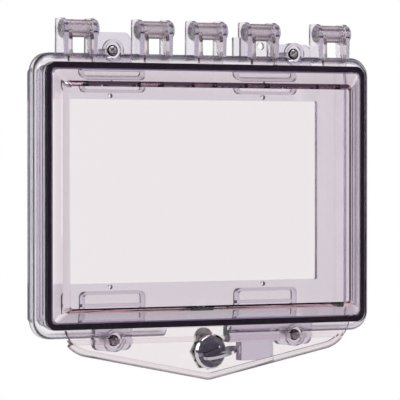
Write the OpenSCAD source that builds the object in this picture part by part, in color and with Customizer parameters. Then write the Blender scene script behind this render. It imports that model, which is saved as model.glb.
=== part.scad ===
// Hinged clear polycarbonate enclosure with an open back, a gasketed door and a keyed cam lock.
// Drawn lying on its back: X to the right, Y up the wall, Z out of the wall; stand() puts it upright.

/* [Frame] */
// Width of the space inside the frame walls
box_w = 236; // [200:1:300]
// Height of the space inside the frame walls
box_h = 165; // [135:1:210]
// Inner corner radius of the frame walls
box_r = 2; // [2:0.5:10]
// Depth of the frame behind the wall surface
recess = 21; // [12:1:40]
// Height of the gasket land above the wall surface
land_z = 11.4; // [10.5:0.1:16]
// Thickness of the frame walls
wall = 3; // [2.5:0.1:3.5]
// Width of the ledge where the walls step in
ledge_w = 1.5; // [1:0.1:1.8]
// Depth of the ledge behind the wall surface
ledge_z = 4; // [2:0.5:8]
// Radius of the rounded outer shoulder
shoulder_r = 6.3; // [6:0.1:7.5]
// Thickness of the shoulder and skirt
skirt_t = 2.6; // [2:0.1:3]
// Width of the rear flange at the sides
flange_side = 15; // [10:1:25]
// Width of the rear flange at the top
flange_top = 18.5; // [16:0.5:25]
// Width of the rear flange at the bottom
flange_bottom = 23.5; // [16:0.5:30]

/* [Gasket] */
// Width of the door gasket
gasket_w = 3.9; // [3.3:0.1:5]
// Depth of the gasket groove
groove_d = 2.4; // [1.5:0.1:3]
// Gap between the land and the back of the door
land_gap = 0.6; // [0.4:0.1:1]

/* [Door] */
// Thickness of the door moulding
door_t = 3; // [2.5:0.1:4]
// How far the window stands out from the door flange
window_rise = 4; // [3:0.5:12]
// Width of the bevel from the gasket to the window
bevel_w = 9.5; // [6:0.5:18]
// Radius of the window corners
window_r = 2; // [1.5:0.5:8]

/* [Hinge] */
// Height of the hinge axis above the outside of the rim
axis_rise = 15.9; // [13:0.5:22]
// Distance of the hinge axis from the wall surface
axis_z = 7.3; // [7:0.1:12]
// Radius of the hinge pins
pin_r = 2.5; // [2:0.1:3]
// Radius of the door barrels
barrel_r = 5.85; // [4.8:0.05:7]
// Radius of the frame eyes
eye_r = 6.8; // [5:0.1:8]
// Half width of one door loop
loop_half = 9; // [7:0.5:12]
// Thickness of the frame ears
ear_t = 3; // [2:0.1:4]
// Thickness of the loop legs
leg_t = 2.5; // [2:0.1:4]
// Distance from the middle to the inner knuckles
knuckle_in = 41.2; // [34:0.1:46]
// Distance from the middle to the outer knuckles
knuckle_out = 97.8; // [94:0.1:100]

/* [Wall fixing] */
// Distance of the screws from the middle, sideways
screw_x = 70; // [66:0.5:74]
// Distance of the screws outside the rim
screw_out = 1.9; // [0.5:0.1:4]
// Radius of the screw shanks
screw_r = 1.6; // [1.4:0.05:2.2]
// Length of the screws below the head
screw_len = 22; // [16:1:40]
// Width of the mounting lugs
lug_w = 28; // [24:1:34]
// Height of the lugs above the wall surface
lug_z = 5; // [4:0.5:5]

/* [Lock] */
// Distance of the lock axis below the rim
lock_drop = 11.1; // [10.5:0.1:13]
// Radius of the lock face
face_r = 11.6; // [11:0.1:13]
// Radius of the lock barrel
lock_r = 9.4; // [8.5:0.1:9.6]
// Distance across the flats of the barrel
lock_flats = 16.2; // [15:0.1:17]
// Radius of the plug
plug_r = 6.5; // [5.5:0.1:7]
// Reach of the cam from the lock axis
cam_reach = 15.8; // [14.5:0.1:15.9]
// Width of the cam
cam_w = 14; // [12:0.5:17.5]
// Slant of the keyway
key_slant = 17; // [0:1:45]

/* [Hidden] */
$fn = 64;

clear_pc = [0.88, 0.86, 0.91, 0.35];
black_rubber = [0.07, 0.06, 0.08];
chrome = [0.75, 0.75, 0.78];
zinc = [0.78, 0.76, 0.68];
brass = [0.80, 0.68, 0.36];
eps = 0.01;

// Clearances
play = 0.4;          // between a moving piece and what it passes
snug = 0.05;         // round a piece that sits in its seat
pin_play = 0.08;     // round a pin in the barrel that turns on it

// Frame section, measured outwards from the inside of the wall
groove_in = (wall + 3) / 2 - gasket_w / 2 - snug;
groove_out = groove_in + gasket_w + 2 * snug;
shoulder_u = 4.8;
rim_u = shoulder_u + shoulder_r;
shoulder_z = land_z - shoulder_r;
land_t = groove_d + 2.1;
flange_z = -recess;

// Frame outline
rim_half_w = box_w / 2 + rim_u;
rim_half_h = box_h / 2 + rim_u;
opening_top = box_h / 2 - flange_top;
opening_bottom = -box_h / 2 + flange_bottom;
opening_w = box_w - 2 * flange_side;
opening_r = 1;

// Door levels
door_z = land_z + land_gap;
door_u = groove_out + 0.2;
window_w = box_w - 2 * bevel_w;
window_h = box_h - 2 * bevel_w + 1;
window_y = -1;

// Hinge
axis_y = rim_half_h + axis_rise;
knuckles = [-knuckle_out, -knuckle_in, 0, knuckle_in, knuckle_out];
ear_in = loop_half + 0.3;
ear_out = ear_in + ear_t;
web_top = rim_half_h - 0.9;
pin_head_r = 5.8;
pin_head_t = 2.2;
ear_corner = 1.6;

// Wall fixing
screw_y = rim_half_h + screw_out;
lug_out = rim_half_h + 8.5;
tall_lug_out = rim_half_h + 14;
lug_r = 5;
washer_r = 3.8;
washer_t = 0.8;
shank_r = screw_r - 0.25;
plain_len = lug_z + washer_t + 0.3;
head_r = 3.1;
head_t = 1.9;
pocket_r = washer_r + 2;
pocket_wall = 1.8;

// Apron below the door, which carries the lock
lock_y = -rim_half_h - lock_drop;
apron_z = door_z - 0.2 - door_t;
apron_top = -rim_half_h - 0.7;
bead_r = 2.6;
bead_lap = 0.4;
bead_z = apron_z + door_t / 2;
bead_back = bead_z - bead_r;
plate_inset = 2.5;
tip_c = [0, lock_y - 4.8];
tip_r = 14.2;
end_c = [box_w / 2 - 29.5, -box_h / 2 + 0.5];
end_r = 24;

// Lock levels along its axis
seal_t = 0.6;
face_z = apron_z + door_t + seal_t;
face_t = 2.6;
barrel_end = 3.9;
cam_z = 1.8;
cam_t = 1.8;
star_t = 0.6;
nut_t = 2.2;
nut_af = 22;
cam_hole = 7;
blade_w = 7.6;
blade_t = 1.9;
wafer_t = 1;
wafer_pitch = 2.1;
wafer_count = 4;

// Keeper beside the lock, and the gap in the rim for the barrel and cam
notch_left = -33;
notch_right = 17;
notch_y = -box_h / 2 - groove_out - 0.7;
keeper_z = apron_z - 0.6;
lip_z = cam_z + cam_t + play;
lip_t = 1.6;
lip_x = lock_r + 1.6;

// ---------- helpers ----------

module stand() { rotate([90, 0, 0]) children(); }

module rounded(w, h, r) {
    square([w - 2 * r, h], center = true);
    square([w, h - 2 * r], center = true);
    for (x = [-1, 1], y = [-1, 1])
        translate([x * (w / 2 - r), y * (h / 2 - r)]) circle(r);
}

// Carries a section round the box outline; the section's x runs outwards and its y along Z.
module around(w, h, r) {
    for (s = [0, 1]) {
        mirror([s, 0, 0]) translate([w / 2, 0, 0]) rotate([90, 0, 0])
            linear_extrude(h - 2 * r, center = true) children();
        mirror([0, s, 0]) rotate([0, 0, 90]) translate([h / 2, 0, 0]) rotate([90, 0, 0])
            linear_extrude(w - 2 * r, center = true) children();
    }
    for (q = [0 : 3]) {
        sx = (q == 0 || q == 3) ? 1 : -1;
        sy = q < 2 ? 1 : -1;
        translate([sx * (w / 2 - r), sy * (h / 2 - r), 0]) rotate([0, 0, 90 * q])
            rotate_extrude(angle = 90) translate([r, 0]) children();
    }
}

// Draws a side view (x = up the wall, y = out of the wall) and gives it a thickness along X.
module side_plate(x0, x1) {
    translate([x0, 0, 0]) rotate([90, 0, 90]) linear_extrude(x1 - x0) children();
}

// Block between two corners
module block(lo, hi) { translate(lo) cube(hi - lo); }

// ---------- back frame ----------

module frame_section() {
    difference() {
        union() {
            translate([0, -ledge_z - wall]) square([wall, land_z + ledge_z + wall]);
            translate([-ledge_w, -ledge_z - wall]) square([ledge_w + wall, wall]);
            translate([-ledge_w, flange_z]) square([wall, recess - ledge_z]);
            translate([0, land_z - land_t]) square([shoulder_u, land_t]);
            intersection() {
                translate([shoulder_u, shoulder_z]) difference() {
                    circle(shoulder_r);
                    circle(shoulder_r - skirt_t);
                }
                translate([shoulder_u, shoulder_z]) square(shoulder_r);
            }
            translate([rim_u - skirt_t, 0]) square([skirt_t, shoulder_z]);
        }
        translate([groove_in, land_z - groove_d]) square([groove_out - groove_in, groove_d + 1]);
    }
}

module rear_flange() {
    translate([0, 0, flange_z]) linear_extrude(wall) difference() {
        square([box_w - 2 * ledge_w + wall, box_h - 2 * ledge_w + wall], center = true);
        translate([0, (opening_top + opening_bottom) / 2])
            rounded(opening_w, opening_top - opening_bottom, opening_r);
    }
}

pad_x = 59.5;
pad_w = 48;
pad_h = 5;
pad_wall = 2;
pad_r = 4;
edge_hole_r = 1.5;
hole_top = opening_top + 2.3;
hole_bottom = opening_bottom - 2.3;

// Walled pocket on the rear flange, between the box wall and the edge hole, with a cross rib
module pad(y0, y1) {
    translate([0, (y0 + y1) / 2, flange_z + wall - eps]) linear_extrude(pad_h + eps) {
        difference() {
            rounded(pad_w, y1 - y0, pad_r);
            rounded(pad_w - 2 * pad_wall, y1 - y0 - 2 * pad_wall, pad_r - pad_wall);
        }
        square([pad_w - pad_wall, pad_wall], center = true);
    }
}

module pads() {
    for (x = [-pad_x, pad_x]) translate([x, 0, 0]) {
        pad(hole_top + 2, box_h / 2 - ledge_w + wall / 2);
        pad(-box_h / 2 + ledge_w - wall / 2, hole_bottom - 2.6);
    }
}

// Lug that reaches from the box wall out past the rim
module lug(reach) {
    w = lug_w;
    y0 = box_h / 2 + wall - eps;
    linear_extrude(lug_z) {
        translate([-w / 2, y0]) square([w, reach - lug_r - y0]);
        translate([-w / 2 + lug_r, y0]) square([w - 2 * lug_r, reach - y0]);
        for (x = [-1, 1]) translate([x * (w / 2 - lug_r), reach - lug_r]) circle(lug_r);
    }
    translate([0, screw_y, 0]) cylinder(r = pocket_r + pocket_wall, h = bead_back - play);
}

module at_lugs() {
    for (x = [-screw_x, screw_x], s = [0, 1])
        mirror([0, s, 0]) translate([x, 0, 0]) children();
}

module lugs() {
    at_lugs() lug(lug_out);
    translate([-screw_x, 0, 0]) lug(tall_lug_out);
}

module ear_side() {
    translate([axis_y, axis_z]) circle(eye_r);
    polygon([[rim_half_h - 3.5, 0.2], [rim_half_h - 3.5, shoulder_z + 3],
             [rim_half_h - 1, axis_z + eye_r - 0.8], [axis_y, axis_z + eye_r],
             [axis_y, axis_z - eye_r]]);
    translate([axis_y, axis_z - eye_r]) square([eye_r - ear_corner, eye_r]);
    translate([axis_y, axis_z - eye_r + ear_corner]) square([eye_r, eye_r - ear_corner]);
    translate([axis_y + eye_r - ear_corner, axis_z - eye_r + ear_corner]) circle(ear_corner);
}

module ears() {
    for (x = knuckles, s = [-1, 1]) {
        a = x + s * ear_in;
        b = x + s * ear_out;
        side_plate(min(a, b), max(a, b)) ear_side();
    }
}

// Keeper block to the right of the lock, with the lip that the cam turns behind
module keeper() {
    block([notch_right, -box_h / 2 - wall - 11, 0], [57, -box_h / 2 - wall + eps, shoulder_z]);
    block([notch_right, -rim_half_h - 5.5, 0], [57, -rim_half_h + 2, keeper_z]);
    block([27, lock_y - 7, 0], [52, -rim_half_h - 5.5 + eps, bead_back - play]);
    block([lip_x, lock_y - 2.5, lip_z], [27 + eps, lock_y + 2.5, lip_z + lip_t]);
}

// Small tab with a hole behind the fourth knuckle
module hanging_tab() {
    difference() {
        block([24.5, rim_half_h - 2, 0], [56, rim_half_h + 12.5, 2.4]);
        translate([46, rim_half_h + 7, -1]) cylinder(r = 2.6, h = 5);
    }
}

module back_frame() {
    color(clear_pc) stand() difference() {
        union() {
            around(box_w, box_h, box_r) frame_section();
            rear_flange();
            pads();
            lugs();
            ears();
            keeper();
            hanging_tab();
        }
        block([notch_left, -lug_out - 20, -1], [notch_right, notch_y, land_z + 1]);
        at_lugs() translate([0, screw_y, 0]) {
            translate([0, 0, lug_z]) cylinder(r = pocket_r, h = land_z);
            translate([0, 0, -1]) cylinder(r = screw_r + 0.25, h = land_z);
        }
        for (x = knuckles) translate([x, axis_y, axis_z]) rotate([0, 90, 0])
            cylinder(r = pin_r + snug / 2, h = 2 * ear_out + 1, center = true);
        for (x = [-pad_x, pad_x], y = [hole_bottom, hole_top])
            translate([x, y, flange_z - 1]) cylinder(r = edge_hole_r, h = wall + 2);
    }
    color(clear_pc) stand() keeper_lip();
}

module keeper_lip() {
    block([lip_x, lock_y - 2.5, lip_z], [27 + eps, lock_y + 2.5, lip_z + lip_t]);
}

// ---------- door ----------

// Half of the line that touches the tip circle and an end circle from below
function apron_normal() =
    let (d = end_c - tip_c, len = norm(d), a = atan2(d.y, d.x) - acos((tip_r - end_r) / len))
    [cos(a), sin(a)];

module apron_outline(inset) {
    n = apron_normal();
    t1 = tip_c + (tip_r - inset) * n;
    t2 = end_c + (end_r - inset) * n;
    translate(tip_c) circle(tip_r - inset);
    for (s = [0, 1]) mirror([s, 0]) translate(end_c) circle(end_r - inset);
    polygon([[-end_c.x, end_c.y + 5], [-end_c.x, end_c.y], [-t2.x, t2.y], [-t1.x, t1.y], tip_c,
             t1, t2, end_c, [end_c.x, end_c.y + 5]]);
}

// Round bead along the lower edge of the apron: a tip bend, two straight runs and two end bends
module apron_bead() {
    n = apron_normal();
    low = atan2(n.y, n.x);
    high = asin((apron_top - bead_r - end_c.y) / (end_r - bead_r));
    t1 = tip_c + (tip_r - bead_r) * n;
    t2 = end_c + (end_r - bead_r) * n;
    translate([0, 0, bead_z]) {
        translate(tip_c) rotate([0, 0, -180 - low]) rotate_extrude(angle = 180 + 2 * low)
            translate([tip_r - bead_r, 0]) circle(bead_r);
        for (s = [0, 1]) mirror([s, 0, 0]) {
            translate(t1) rotate([0, 0, low]) rotate([-90, 0, 0]) translate([0, 0, -bead_lap])
                cylinder(r = bead_r - snug, h = norm(t2 - t1) + 2 * bead_lap);
            translate(end_c) rotate([0, 0, low]) rotate_extrude(angle = high - low)
                translate([end_r - bead_r, 0]) circle(bead_r);
        }
    }
}

module apron() {
    intersection() {
        translate([0, 0, door_z]) linear_extrude(door_t) apron_outline(plate_inset);
        block([-rim_half_w, apron_top - 3, 0], [rim_half_w, -box_h / 2, 40]);
    }
    intersection() {
        union() {
            translate([0, 0, apron_z]) linear_extrude(door_t) apron_outline(bead_r);
            translate([0, 0, apron_z]) linear_extrude(door_z + door_t - apron_z) intersection() {
                apron_outline(plate_inset);
                translate([-rim_half_w, apron_top - 3]) square([2 * rim_half_w, 3]);
            }
        }
        block([-rim_half_w, -200, -1], [rim_half_w, apron_top, 40]);
    }
    apron_bead();
}

module lock_hole() {
    intersection() {
        circle(lock_r + snug);
        square([2 * lock_r + 1, lock_flats + 2 * snug], center = true);
    }
}

module loop_side() {
    translate([axis_y, axis_z]) circle(barrel_r);
    polygon([[box_h / 2 + 1, door_z], [box_h / 2 + 1, door_z + door_t],
             [axis_y - barrel_r, door_z + door_t - 0.4], [axis_y, axis_z + barrel_r],
             [axis_y, axis_z - barrel_r], [axis_y - barrel_r + 0.6, axis_z - 2.4],
             [axis_y - barrel_r - 1.5, door_z - 2.2], [rim_half_h + 2, door_z - 1.6],
             [rim_half_h - 1, door_z]]);
}

module loops() {
    for (x = knuckles) {
        for (s = [-1, 1]) {
            a = x + s * loop_half;
            b = x + s * (loop_half - leg_t);
            side_plate(min(a, b), max(a, b)) loop_side();
        }
        translate([x, axis_y, axis_z]) rotate([0, 90, 0])
            cylinder(r = barrel_r, h = 2 * loop_half - 1, center = true);
        block([x - loop_half + eps, box_h / 2 + 1, door_z], [x + loop_half - eps, web_top, door_z + door_t]);
    }
}

// Solid from the door flange up to the window; foot and head shrink it all round
module window_shell(base, top, foot, head) {
    hull() {
        translate([0, window_y * foot / bevel_w, base - eps]) linear_extrude(eps)
            rounded(box_w - 2 * foot, box_h - 2 * foot, window_r + 1, $fn = 32);
        translate([0, window_y, top - eps]) linear_extrude(eps)
            rounded(window_w - 2 * head, window_h - 2 * head, window_r, $fn = 32);
    }
}

module door_cover() {
    color(clear_pc) stand() difference() {
        union() {
            translate([0, 0, door_z]) linear_extrude(door_t)
                rounded(box_w + 2 * door_u, box_h + 2 * door_u, box_r + door_u);
            window_shell(door_z + door_t, door_z + door_t + window_rise, 0, 0);
            apron();
            loops();
        }
        window_shell(door_z - eps, door_z + window_rise, bevel_w - 2, 1);
        for (x = knuckles) translate([x, axis_y, axis_z]) rotate([0, 90, 0])
            cylinder(r = pin_r + pin_play, h = 2 * loop_half + 1, center = true);
        translate([0, lock_y, 0]) linear_extrude(40) lock_hole();
        translate([0, lock_y, apron_z + door_t]) cylinder(r = face_r + play, h = 20);
    }
}

// ---------- gasket ----------

module door_gasket() {
    color(black_rubber) stand() around(box_w, box_h, box_r)
        translate([groove_in + snug, land_z - groove_d]) square([gasket_w, groove_d + land_gap - 0.25]);
}

// ---------- hinge pins ----------

module hinge_pin(i) {
    color(chrome) stand() translate([knuckles[i], axis_y, axis_z]) rotate([0, 90, 0]) {
        translate([0, 0, -ear_out]) cylinder(r = pin_r, h = 2 * ear_out + 0.1);
        translate([0, 0, ear_out + 0.1]) cylinder(r = pin_head_r, h = pin_head_t - 0.6);
        translate([0, 0, ear_out + pin_head_t - 0.5])
            cylinder(r1 = pin_head_r, r2 = pin_head_r - 0.8, h = 0.6);
    }
}

// ---------- wall screws ----------

module pan_head() {
    difference() {
        intersection() {
            cylinder(r = head_r, h = head_t);
            translate([0, 0, head_t - 4.5]) sphere(r = 4.5);
        }
        for (a = [0, 90]) rotate(a) translate([-1.8, -0.4, head_t - 1]) cube([3.6, 0.8, 2]);
    }
}

module mounting_screws() {
    color(zinc) stand() at_lugs() translate([0, screw_y, lug_z + washer_t]) {
        pan_head();
        translate([0, 0, -plain_len]) cylinder(r = shank_r, h = plain_len + eps);
        translate([0, 0, 2 - screw_len]) cylinder(r = screw_r, h = screw_len - 2 - plain_len + eps);
        translate([0, 0, -screw_len]) cylinder(r1 = 0.4, r2 = screw_r, h = 2 + eps);
    }
}

module screw_washers() {
    color(black_rubber) stand() at_lugs() translate([0, screw_y, lug_z]) difference() {
        cylinder(r = washer_r, h = washer_t);
        translate([0, 0, -1]) cylinder(r = shank_r + snug, h = 3);
    }
}

// ---------- cam lock ----------

module at_lock() { stand() translate([0, lock_y, 0]) children(); }

module keyway(w, t, z0, z1) {
    rotate([0, 0, key_slant]) translate([-w / 2, -t / 2, z0]) cube([w, t, z1 - z0]);
}

module lock_housing() {
    color(chrome) at_lock() difference() {
        union() {
            translate([0, 0, face_z]) cylinder(r = face_r, h = face_t - 1.1);
            translate([0, 0, face_z + face_t - 1.1 - eps])
                cylinder(r1 = face_r, r2 = face_r - 1.1, h = 1.1 + eps);
            translate([0, 0, barrel_end]) linear_extrude(face_z - barrel_end + eps) intersection() {
                circle(lock_r);
                square([2 * lock_r + 1, lock_flats], center = true);
            }
        }
        translate([0, 0, barrel_end - 1]) cylinder(r = plug_r + snug, h = 20);
    }
}

module lock_seal() {
    color(black_rubber) at_lock() translate([0, 0, apron_z + door_t]) difference() {
        cylinder(r = face_r - 0.4, h = seal_t);
        translate([0, 0, -1]) cylinder(r = lock_r + snug, h = 3);
    }
}

module lock_star_washer() {
    color(zinc) at_lock() translate([0, 0, apron_z - star_t]) difference() {
        union() {
            cylinder(r = lock_r + 1.6, h = star_t);
            for (k = [0 : 11]) rotate(30 * k) translate([0, -0.8, 0]) cube([lock_r + 2.6, 1.6, star_t]);
        }
        translate([0, 0, -1]) cylinder(r = lock_r + 0.1, h = 3);
    }
}

module lock_nut() {
    color(zinc) at_lock() translate([0, 0, apron_z - star_t - nut_t]) difference() {
        cylinder(r = nut_af / 2 / cos(30), h = nut_t, $fn = 6);
        translate([0, 0, -1]) cylinder(r = lock_r + snug, h = 5);
    }
}

module lock_plug() {
    color(chrome) at_lock() difference() {
        union() {
            translate([0, 0, barrel_end - 0.1]) cylinder(r = plug_r, h = face_z + face_t - barrel_end - 0.2);
            translate([-cam_hole / 2, -cam_hole / 2, cam_z]) cube([cam_hole, cam_hole, barrel_end - cam_z]);
        }
        keyway(blade_w + 0.4, blade_t + 0.4, 4.6, 30);
        for (k = [0 : wafer_count - 1])
            wafer_slot(5.6, 2 * plug_r + 1, wafer_t + 0.1, wafer_level(k) - 0.05);
        translate([0, 0, 0]) cylinder(r = 1.95, h = 4.4);
    }
}

function wafer_level(k) = 5.4 + wafer_pitch * k;

// A slot or plate across the keyway
module wafer_slot(w, l, t, z) {
    rotate([0, 0, key_slant]) translate([-l / 2, -w / 2, z]) cube([l, w, t]);
}

module lock_wafers() {
    color(brass) at_lock() for (k = [0 : wafer_count - 1]) difference() {
        wafer_slot(5.4, 2 * plug_r - 2.4, wafer_t, wafer_level(k));
        keyway(blade_w + 0.6, blade_t + 0.6, 0, 30);
    }
}

module lock_cam() {
    color(zinc) at_lock() translate([0, 0, cam_z]) linear_extrude(cam_t) difference() {
        union() {
            circle(cam_w / 2);
            translate([-cam_w / 2, 0]) square([cam_w, cam_reach - cam_w / 2]);
            translate([0, cam_reach - cam_w / 2]) circle(cam_w / 2);
        }
        square(cam_hole + 2 * snug, center = true);
    }
}

module cam_washer() {
    color(zinc) at_lock() translate([0, 0, cam_z - 0.45]) difference() {
        cylinder(r = 4.6, h = 0.4);
        translate([0, 0, -1]) cylinder(r = 2, h = 3);
    }
}

module cam_screw() {
    color(zinc) at_lock() difference() {
        union() {
            translate([0, 0, cam_z - 1.5]) cylinder(r = 4.1, h = 1);
            translate([0, 0, cam_z - 1.5]) cylinder(r = 1.9, h = 3.8);
        }
        translate([-2, -0.5, cam_z - 2]) cube([4, 1, 0.9]);
    }
}

module key() {
    bow_z = face_z + face_t + 1.2;
    bow_r = 12;
    color(chrome) at_lock() {
        keyway(blade_w, blade_t, 4.8, bow_z);
        rotate([0, 0, key_slant]) rotate([90, 0, 0]) linear_extrude(blade_t, center = true) difference() {
            union() {
                translate([-6, bow_z - eps]) square([12, 5]);
                translate([0, bow_z + 11]) circle(bow_r);
            }
            translate([-20, bow_z - 20]) square([40, 20 - eps]);
            translate([0, bow_z + 16]) circle(3);
        }
    }
}

back_frame();
door_cover();
door_gasket();
hinge_pin(0);  // hinge_pin_1
hinge_pin(1);  // hinge_pin_2
hinge_pin(2);  // hinge_pin_3
hinge_pin(3);  // hinge_pin_4
hinge_pin(4);  // hinge_pin_5
mounting_screws();
screw_washers();
lock_housing();
lock_seal();
lock_star_washer();
lock_nut();
lock_plug();
lock_wafers();
lock_cam();
cam_washer();
cam_screw();
key();
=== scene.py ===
import math

import bpy
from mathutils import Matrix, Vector

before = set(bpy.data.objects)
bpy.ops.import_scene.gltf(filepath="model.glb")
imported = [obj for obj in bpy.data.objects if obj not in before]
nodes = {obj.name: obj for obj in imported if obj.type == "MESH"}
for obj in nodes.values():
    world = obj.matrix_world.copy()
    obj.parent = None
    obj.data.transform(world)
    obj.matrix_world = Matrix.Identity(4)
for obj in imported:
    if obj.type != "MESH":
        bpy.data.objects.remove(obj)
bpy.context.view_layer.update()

# Camera: a long lens, 30 degrees to the left of the enclosure and nearly level with its middle,
# so that the left side of the rim and the open back show through the clear door.
tilt_down = 0.74
turn_right = 30
camera_data = bpy.data.cameras.new("camera")
camera_data.lens = 279.3
camera_data.sensor_width = 36
camera_data.clip_end = 50
camera = bpy.data.objects.new("camera", camera_data)
camera.location = (-1.0424, -1.8049, 0.0235)
camera.rotation_euler = (math.radians(90 - tilt_down), 0, math.radians(-turn_right))
bpy.context.collection.objects.link(camera)
scene = bpy.context.scene
scene.camera = camera
scene.view_settings.view_transform = "Standard"


# Back frame: one clear polycarbonate moulding, open at the back, screwed to the wall by its lugs.
# The plastic has a lavender cast in its depth, slight flow waves and a satin haze.
def new_material(name):
    material = bpy.data.materials.new(name)
    material.use_nodes = True
    parts = material.node_tree.nodes
    return material, parts, material.node_tree.links, parts["Principled BSDF"]


def place(parts, links, scale):
    spot = parts.new("ShaderNodeTexCoord")
    stretch = parts.new("ShaderNodeMapping")
    stretch.inputs["Scale"].default_value = scale
    links.new(spot.outputs["Object"], stretch.inputs["Vector"])
    return stretch.outputs["Vector"]


def noise(parts, links, where, scale, detail=3):
    cloud = parts.new("ShaderNodeTexNoise")
    cloud.inputs["Scale"].default_value = scale
    cloud.inputs["Detail"].default_value = detail
    links.new(where, cloud.inputs["Vector"])
    return cloud.outputs["Fac"]


def ramp(parts, links, value, low, high, bottom, top):
    step = parts.new("ShaderNodeMapRange")
    step.inputs["From Min"].default_value = low
    step.inputs["From Max"].default_value = high
    step.inputs["To Min"].default_value = bottom
    step.inputs["To Max"].default_value = top
    links.new(value, step.inputs["Value"])
    return step.outputs["Result"]


def raised(parts, links, height, strength, distance):
    relief = parts.new("ShaderNodeBump")
    relief.inputs["Strength"].default_value = strength
    relief.inputs["Distance"].default_value = distance
    links.new(height, relief.inputs["Height"])
    return relief.outputs["Normal"]


def maths(parts, links, operation, first, second):
    result = parts.new("ShaderNodeMath")
    result.operation = operation
    for socket, value in zip(result.inputs, (first, second)):
        if isinstance(value, (int, float)):
            socket.default_value = value
        else:
            links.new(value, socket)
    return result.outputs[0]


def clear_moulding(name, depth_colour, low, high, wave):
    material, parts, links, surface = new_material(name)
    surface.inputs["Base Color"].default_value = (0.985, 0.98, 0.985, 1)
    surface.inputs["Transmission Weight"].default_value = 1
    surface.inputs["IOR"].default_value = 1.585
    body = place(parts, links, (1, 1, 1))
    haze = ramp(parts, links, noise(parts, links, body, 35), 0.35, 0.7, low, high)
    links.new(haze, surface.inputs["Roughness"])
    along_the_wall = place(parts, links, (1, 1, 0.12))
    flow = noise(parts, links, along_the_wall, 160, 2)
    links.new(raised(parts, links, flow, 1.0, wave), surface.inputs["Normal"])
    depth = parts.new("ShaderNodeVolumeAbsorption")
    depth.inputs["Color"].default_value = (*depth_colour, 1)
    depth.inputs["Density"].default_value = 100
    links.new(depth.outputs["Volume"], parts["Material Output"].inputs["Volume"])
    return material, haze


def finish_node(node, material):
    for slot in nodes[node].material_slots:
        slot.material = material


frame_plastic = clear_moulding("frame_polycarbonate", (0.55, 0.46, 0.62), 0.10, 0.20, 0.00004)[0]
finish_node("back_frame", frame_plastic)

# Door gasket: a black closed-cell rubber strip laid in the groove of the frame's land.
# The washers under the wall screws and the seal under the lock's face are cut from the same rubber.
def rubber(name, colour):
    material, parts, links, surface = new_material(name)
    body = place(parts, links, (1, 1, 1))
    cells = noise(parts, links, body, 900)
    shade = parts.new("ShaderNodeMix")
    shade.data_type = "RGBA"
    shade.inputs["A"].default_value = (*[c * 0.6 for c in colour], 1)
    shade.inputs["B"].default_value = (*[c * 1.5 for c in colour], 1)
    links.new(noise(parts, links, body, 60), shade.inputs["Factor"])
    links.new(shade.outputs["Result"], surface.inputs["Base Color"])
    surface.inputs["Specular IOR Level"].default_value = 0.25
    links.new(ramp(parts, links, cells, 0.3, 0.7, 0.6, 0.85), surface.inputs["Roughness"])
    links.new(raised(parts, links, cells, 0.3, 0.0002), surface.inputs["Normal"])
    return material


black_rubber = rubber("gasket_rubber", (0.016, 0.009, 0.021))
finish_node("door_gasket", black_rubber)
finish_node("screw_washers", black_rubber)
finish_node("lock_seal", black_rubber)

# Door: a thin clear polycarbonate moulding with a raised window, an apron and hinge loops.
# The window is polished; the apron's bead and the loops are satin.
apron_middle = -0.0103
half_apron = 0.00155
bead_below = -0.094
loops_above = 0.0915
satin_roughness = 0.25
door_plastic, door_haze = clear_moulding("door_polycarbonate", (0.80, 0.64, 0.70), 0.01, 0.03, 0.00001)
parts, links = door_plastic.node_tree.nodes, door_plastic.node_tree.links
split = parts.new("ShaderNodeSeparateXYZ")
links.new(place(parts, links, (1, 1, 1)), split.inputs[0])
off_middle = maths(parts, links, "SUBTRACT", split.outputs["Y"], apron_middle)
beyond = maths(parts, links, "ABSOLUTE", off_middle, 0)
outside_plate = maths(parts, links, "GREATER_THAN", beyond, half_apron)
on_apron = maths(parts, links, "LESS_THAN", split.outputs["Z"], bead_below)
bead = maths(parts, links, "MULTIPLY", outside_plate, on_apron)
loops = maths(parts, links, "GREATER_THAN", split.outputs["Z"], loops_above)
satin_zone = maths(parts, links, "MAXIMUM", bead, loops)
satin = maths(parts, links, "MULTIPLY", satin_zone, satin_roughness)
rough = maths(parts, links, "ADD", door_haze, satin)
links.new(rough, parts["Principled BSDF"].inputs["Roughness"])
finish_node("door_cover", door_plastic)

# Hinge pins: five pins with flat heads, one pushed through each pair of ears.
# They are moulded in the same clear plastic as the frame.
for number in range(1, 6):
    finish_node("hinge_pin_%d" % number, frame_plastic)


# Wall screws: four plated steel pan-head screws through the lugs.
# Their plating has faint cloudy marks from turning.
def metal(name, colour, roughness, marks):
    material, parts, links, surface = new_material(name)
    surface.inputs["Metallic"].default_value = 1
    body = place(parts, links, (1, 1, 1))
    cloud = noise(parts, links, body, 220, 4)
    mix = parts.new("ShaderNodeMix")
    mix.data_type = "RGBA"
    mix.inputs["A"].default_value = (*[c * 0.75 for c in colour], 1)
    mix.inputs["B"].default_value = (*colour, 1)
    links.new(cloud, mix.inputs["Factor"])
    links.new(mix.outputs["Result"], surface.inputs["Base Color"])
    finish = ramp(parts, links, cloud, 0.3, 0.7, roughness, roughness + marks)
    links.new(finish, surface.inputs["Roughness"])
    marking = noise(parts, links, body, 500, 2)
    links.new(raised(parts, links, marking, 0.4, 0.0001), surface.inputs["Normal"])
    return material


plated_steel = metal("plated_steel", (0.50, 0.47, 0.50), 0.22, 0.2)
finish_node("mounting_screws", plated_steel)

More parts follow.
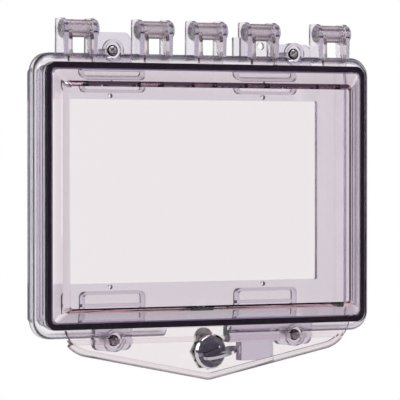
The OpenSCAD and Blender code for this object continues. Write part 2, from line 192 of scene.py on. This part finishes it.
# Cam lock: a chromed housing and plug, held in the apron by a nut on a toothed washer.
# The nut, the cam and their small parts are pale passivated zinc, and the wafers are brass.
chrome = metal("lock_chrome", (0.72, 0.71, 0.74), 0.06, 0.08)
passivated = metal("passivated_zinc", (0.78, 0.80, 0.72), 0.25, 0.2)
brass = metal("wafer_brass", (0.72, 0.55, 0.25), 0.3, 0.2)
for node in ("lock_housing", "lock_plug"):
    finish_node(node, chrome)
for node in ("lock_star_washer", "lock_nut", "lock_cam", "cam_washer", "cam_screw"):
    finish_node(node, passivated)
finish_node("lock_wafers", brass)

# Key: a flat key with a round bow, stamped from bright steel.
# It stands in the keyway of the plug.
key_steel = metal("key_steel", (0.62, 0.61, 0.64), 0.15, 0.12)
finish_node("key", key_steel)

# Studio: a pale floor under the enclosure, soft boxes at the left, the right and above.
# The surroundings are white behind the enclosure and dim in front and overhead.
floor_level = -0.34
floor_half = 2
floor_corners = [(x * floor_half, y * floor_half, floor_level) for x, y in ((-1, -1), (1, -1), (1, 1), (-1, 1))]
floor_mesh = bpy.data.meshes.new("floor")
floor_mesh.from_pydata(floor_corners, [], [(0, 1, 2, 3)])
floor = bpy.data.objects.new("floor", floor_mesh)
bpy.context.collection.objects.link(floor)
floor_material, floor_nodes, floor_links, floor_surface = new_material("floor_paper")
floor_surface.inputs["Base Color"].default_value = (0.85, 0.85, 0.86, 1)
floor_surface.inputs["Roughness"].default_value = 0.9
glow = floor_nodes.new("ShaderNodeEmission")
glow.inputs["Color"].default_value = (1, 1, 1, 1)
glow.inputs["Strength"].default_value = 0.9
floor_paths = floor_nodes.new("ShaderNodeLightPath")
floor_mix = floor_nodes.new("ShaderNodeMixShader")
either = maths(floor_nodes, floor_links, "MAXIMUM",
               floor_paths.outputs["Is Transmission Ray"], floor_paths.outputs["Is Glossy Ray"])
floor_links.new(either, floor_mix.inputs["Fac"])
floor_links.new(floor_surface.outputs[0], floor_mix.inputs[1])
floor_links.new(glow.outputs[0], floor_mix.inputs[2])
floor_links.new(floor_mix.outputs[0], floor_nodes["Material Output"].inputs["Surface"])
floor_mesh.materials.append(floor_material)


def soft_box(name, spot, size, power):
    lamp = bpy.data.lights.new(name, "AREA")
    lamp.shape = "RECTANGLE"
    lamp.size, lamp.size_y = size
    lamp.energy = power
    fixture = bpy.data.objects.new(name, lamp)
    fixture.location = spot
    fixture.rotation_euler = (Vector((0, 0, 0)) - Vector(spot)).to_track_quat("-Z", "Y").to_euler()
    bpy.context.collection.objects.link(fixture)


soft_box("left_box", (-1.5, -0.9, 0.7), (0.9, 1.2), 12)
soft_box("right_box", (1.4, -1.2, 0.5), (0.8, 1.2), 8)
soft_box("top_box", (0.0, -0.4, 1.4), (1.2, 0.8), 10)

world = bpy.data.worlds.new("studio")
scene.world = world
world.use_nodes = True
sky = world.node_tree.nodes
wires = world.node_tree.links
paths = sky.new("ShaderNodeLightPath")
direction = sky.new("ShaderNodeTexCoord")
ways = sky.new("ShaderNodeSeparateXYZ")
wires.new(direction.outputs["Generated"], ways.inputs[0])
ahead = ramp(sky, wires, ways.outputs["Y"], 0.1, 0.8, 0.0, 1.0)
below = ramp(sky, wires, ways.outputs["Z"], 0.06, 0.4, 1.0, 0.35)
bright = maths(sky, wires, "MULTIPLY", ahead, below)
seen = maths(sky, wires, "MAXIMUM", paths.outputs["Is Camera Ray"], bright)
tone = sky.new("ShaderNodeMix")
tone.data_type = "RGBA"
tone.inputs["A"].default_value = (0.11, 0.09, 0.13, 1)
tone.inputs["B"].default_value = (1, 1, 1, 1)
wires.new(seen, tone.inputs["Factor"])
wires.new(tone.outputs["Result"], sky["Background"].inputs["Color"])
